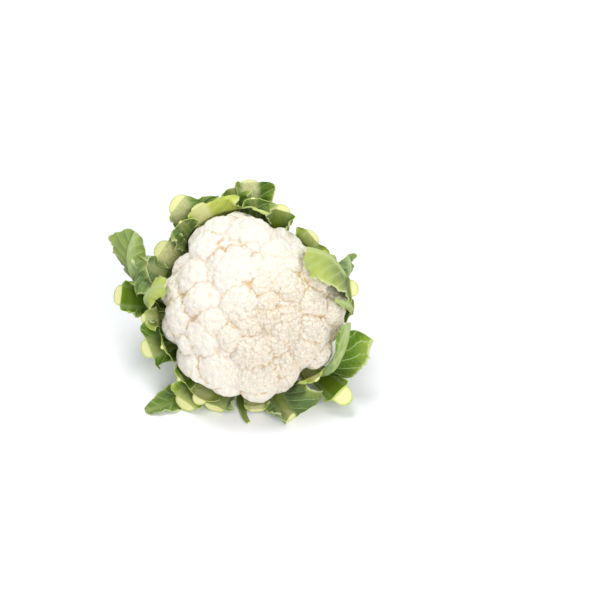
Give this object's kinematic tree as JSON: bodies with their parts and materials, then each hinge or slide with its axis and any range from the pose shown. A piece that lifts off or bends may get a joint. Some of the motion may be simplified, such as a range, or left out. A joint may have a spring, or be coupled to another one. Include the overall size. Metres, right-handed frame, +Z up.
{
  "type": "cauliflower",
  "caption": "Head of cauliflower with trimmed leaves, lying tipped on its cut stem and lower leaves with the curd facing forwards and up.",
  "frame": {"origin": "On the surface the head lies on, under the middle of its bounding box.", "axes": "+Z is up. The curd faces -Y and up, towards a viewer in front; +X is to that viewer's right and is the longest side."},
  "size_m": [0.2247, 0.158, 0.1407],
  "materials": {
    "curd": "matte",
    "stem": "satin",
    "outer_leaf": "satin",
    "inner_leaf": "satin"
  },
  "bodies": {
    "root": {"curd": "curd", "stem": "stem", "outer_leaf_01": "outer_leaf", "outer_leaf_02": "outer_leaf", "outer_leaf_03": "outer_leaf", "outer_leaf_04": "outer_leaf", "outer_leaf_05": "outer_leaf", "outer_leaf_06": "outer_leaf", "outer_leaf_07": "outer_leaf", "outer_leaf_08": "outer_leaf", "outer_leaf_09": "outer_leaf", "outer_leaf_10": "outer_leaf", "outer_leaf_11": "outer_leaf", "outer_leaf_12": "outer_leaf", "outer_leaf_13": "outer_leaf", "outer_leaf_14": "outer_leaf", "outer_leaf_15": "outer_leaf", "outer_leaf_16": "outer_leaf", "outer_leaf_17": "outer_leaf", "outer_leaf_18": "outer_leaf", "outer_leaf_19": "outer_leaf", "inner_leaf_01": "inner_leaf", "inner_leaf_02": "inner_leaf", "inner_leaf_03": "inner_leaf", "inner_leaf_04": "inner_leaf", "inner_leaf_05": "inner_leaf", "inner_leaf_06": "inner_leaf", "inner_leaf_07": "inner_leaf", "inner_leaf_08": "inner_leaf", "inner_leaf_09": "inner_leaf", "inner_leaf_10": "inner_leaf", "inner_leaf_11": "inner_leaf", "inner_leaf_12": "inner_leaf", "inner_leaf_13": "inner_leaf", "inner_leaf_14": "inner_leaf"}
  },
  "joints": []
}
